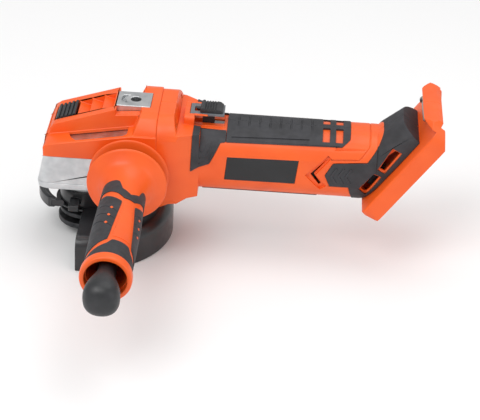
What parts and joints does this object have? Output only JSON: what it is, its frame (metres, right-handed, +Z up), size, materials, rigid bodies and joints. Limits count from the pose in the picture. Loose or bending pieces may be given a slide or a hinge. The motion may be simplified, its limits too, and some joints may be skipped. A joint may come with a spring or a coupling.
{
  "type": "angle grinder",
  "caption": "Cordless angle grinder with a cast gear head, two-part housing with soft grips, slide-on battery mount, side handle and half guard.",
  "frame": {"origin": "on the spindle axis, in the plane where the disc seats against the inner flange", "axes": "+Z up along the spindle axis, +X back along the body to the battery mount, side handle along -Y"},
  "size_m": [0.31, 0.2915, 0.1295],
  "materials": {
    "case_aluminium": "cast, bead blasted, satin",
    "orange_plastic": "moulded, fine texture, satin",
    "black_rubber": "moulded soft grip, matt",
    "black_plastic": "moulded, satin",
    "label_gloss": "blank, smooth",
    "black_steel": "powder coated sheet, satin",
    "phosphated_steel": "turned and phosphated",
    "bright_steel": "ground",
    "gear_steel": "hardened, oiled",
    "zinc_steel": "zinc plated",
    "magnet_ferrite": "sintered",
    "copper": "drawn copper",
    "carbon": "pressed carbon",
    "brass_sheet": "stamped",
    "grey_plastic": "moulded, satin",
    "board_green": "lacquered board"
  },
  "bodies": {
    "tool": {"gear_case": "case_aluminium", "bearing_cover": "case_aluminium", "bearing_cover_screws": "zinc_steel", "head_cover": "orange_plastic", "head_screws": "zinc_steel", "spindle_lower_bearing": "bright_steel", "spindle_upper_bearing": "bright_steel", "dust_ring": "black_rubber", "lock_spring": "zinc_steel", "rotor_front_bearing": "bright_steel", "rotor_rear_bearing": "bright_steel", "motor_can": "gear_steel", "motor_magnets": "magnet_ferrite", "motor_end_cap": "black_plastic", "brushes": "carbon", "brush_holders": "brass_sheet", "housing_left": "orange_plastic", "housing_right": "orange_plastic", "housing_screws": "zinc_steel", "grip_rubber": "black_rubber", "side_rubber_left": "black_rubber", "side_rubber_right": "black_rubber", "neck_rubber_left": "black_rubber", "neck_rubber_right": "black_rubber", "belly_rubber": "black_rubber", "label_left": "label_gloss", "label_right": "label_gloss", "switch_bezel": "grey_plastic", "switch_module": "black_plastic", "control_board": "board_green", "terminal_block": "black_plastic", "terminal_blades": "bright_steel", "handle_stud": "bright_steel", "handle_base": "orange_plastic", "handle_damper": "black_rubber", "handle_grip": "orange_plastic", "handle_overmould": "black_rubber", "handle_end_ring": "orange_plastic"},
    "spindle": {"spindle": "bright_steel", "inner_flange": "phosphated_steel", "crown_gear": "gear_steel"},
    "clamp_nut": {"clamp_nut": "phosphated_steel"},
    "rotor": {"rotor_shaft": "bright_steel", "pinion": "gear_steel", "armature": "copper", "commutator": "copper", "fan": "black_plastic"},
    "lock_button": {"lock_button": "black_plastic", "lock_pin": "bright_steel"},
    "guard": {"guard": "black_steel", "guard_band": "black_steel", "lever_pin": "zinc_steel", "band_bolt": "zinc_steel"},
    "clamp_lever": {"clamp_lever": "black_steel"},
    "switch": {"switch_slider": "black_plastic", "switch_rod": "gear_steel"},
    "disc_key": {"disc_key": "black_plastic"}
  },
  "joints": [
    {"name": "rotor_spin", "type": "hinge", "parent": "tool", "child": "rotor", "pos_m": [0.05, 0, 0.0575], "axis": [1, 0, 0], "continuous": true},
    {"name": "spindle_spin", "type": "hinge", "parent": "tool", "child": "spindle", "pos_m": [0, 0, 0], "axis": [0, 0, 1], "continuous": true},
    {"name": "clamp_nut_unscrew", "type": "slide", "parent": "spindle", "child": "clamp_nut", "axis": [0, 0, -1], "range_m": [0, 0.014]},
    {"name": "lock_button_press", "type": "slide", "parent": "tool", "child": "lock_button", "axis": [0, 0, -1], "range_m": [0, 0.0035], "stiffness_N_per_m": 900, "springref_m": -0.001, "deforming": ["lock_spring"]},
    {"name": "guard_turn", "type": "hinge", "parent": "tool", "child": "guard", "pos_m": [0, 0, 0.01], "axis": [0, 0, 1], "range_deg": [-90, 90]},
    {"name": "clamp_lever_open", "type": "hinge", "parent": "guard", "child": "clamp_lever", "pos_m": [-0.01742, 0.02442, 0.0166], "axis": [0, 0, -1], "range_deg": [0, 100]},
    {"name": "switch_slide", "type": "slide", "parent": "tool", "child": "switch", "axis": [-1, 0, 0], "range_m": [0, 0.006]},
    {"name": "disc_key_pull", "type": "slide", "parent": "tool", "child": "disc_key", "axis": [0, -1, 0], "range_m": [0, 0.075]}
  ],
  "couplings": [
    {"joint": "spindle_spin", "follows": "rotor_spin", "ratio": 0.25}
  ]
}
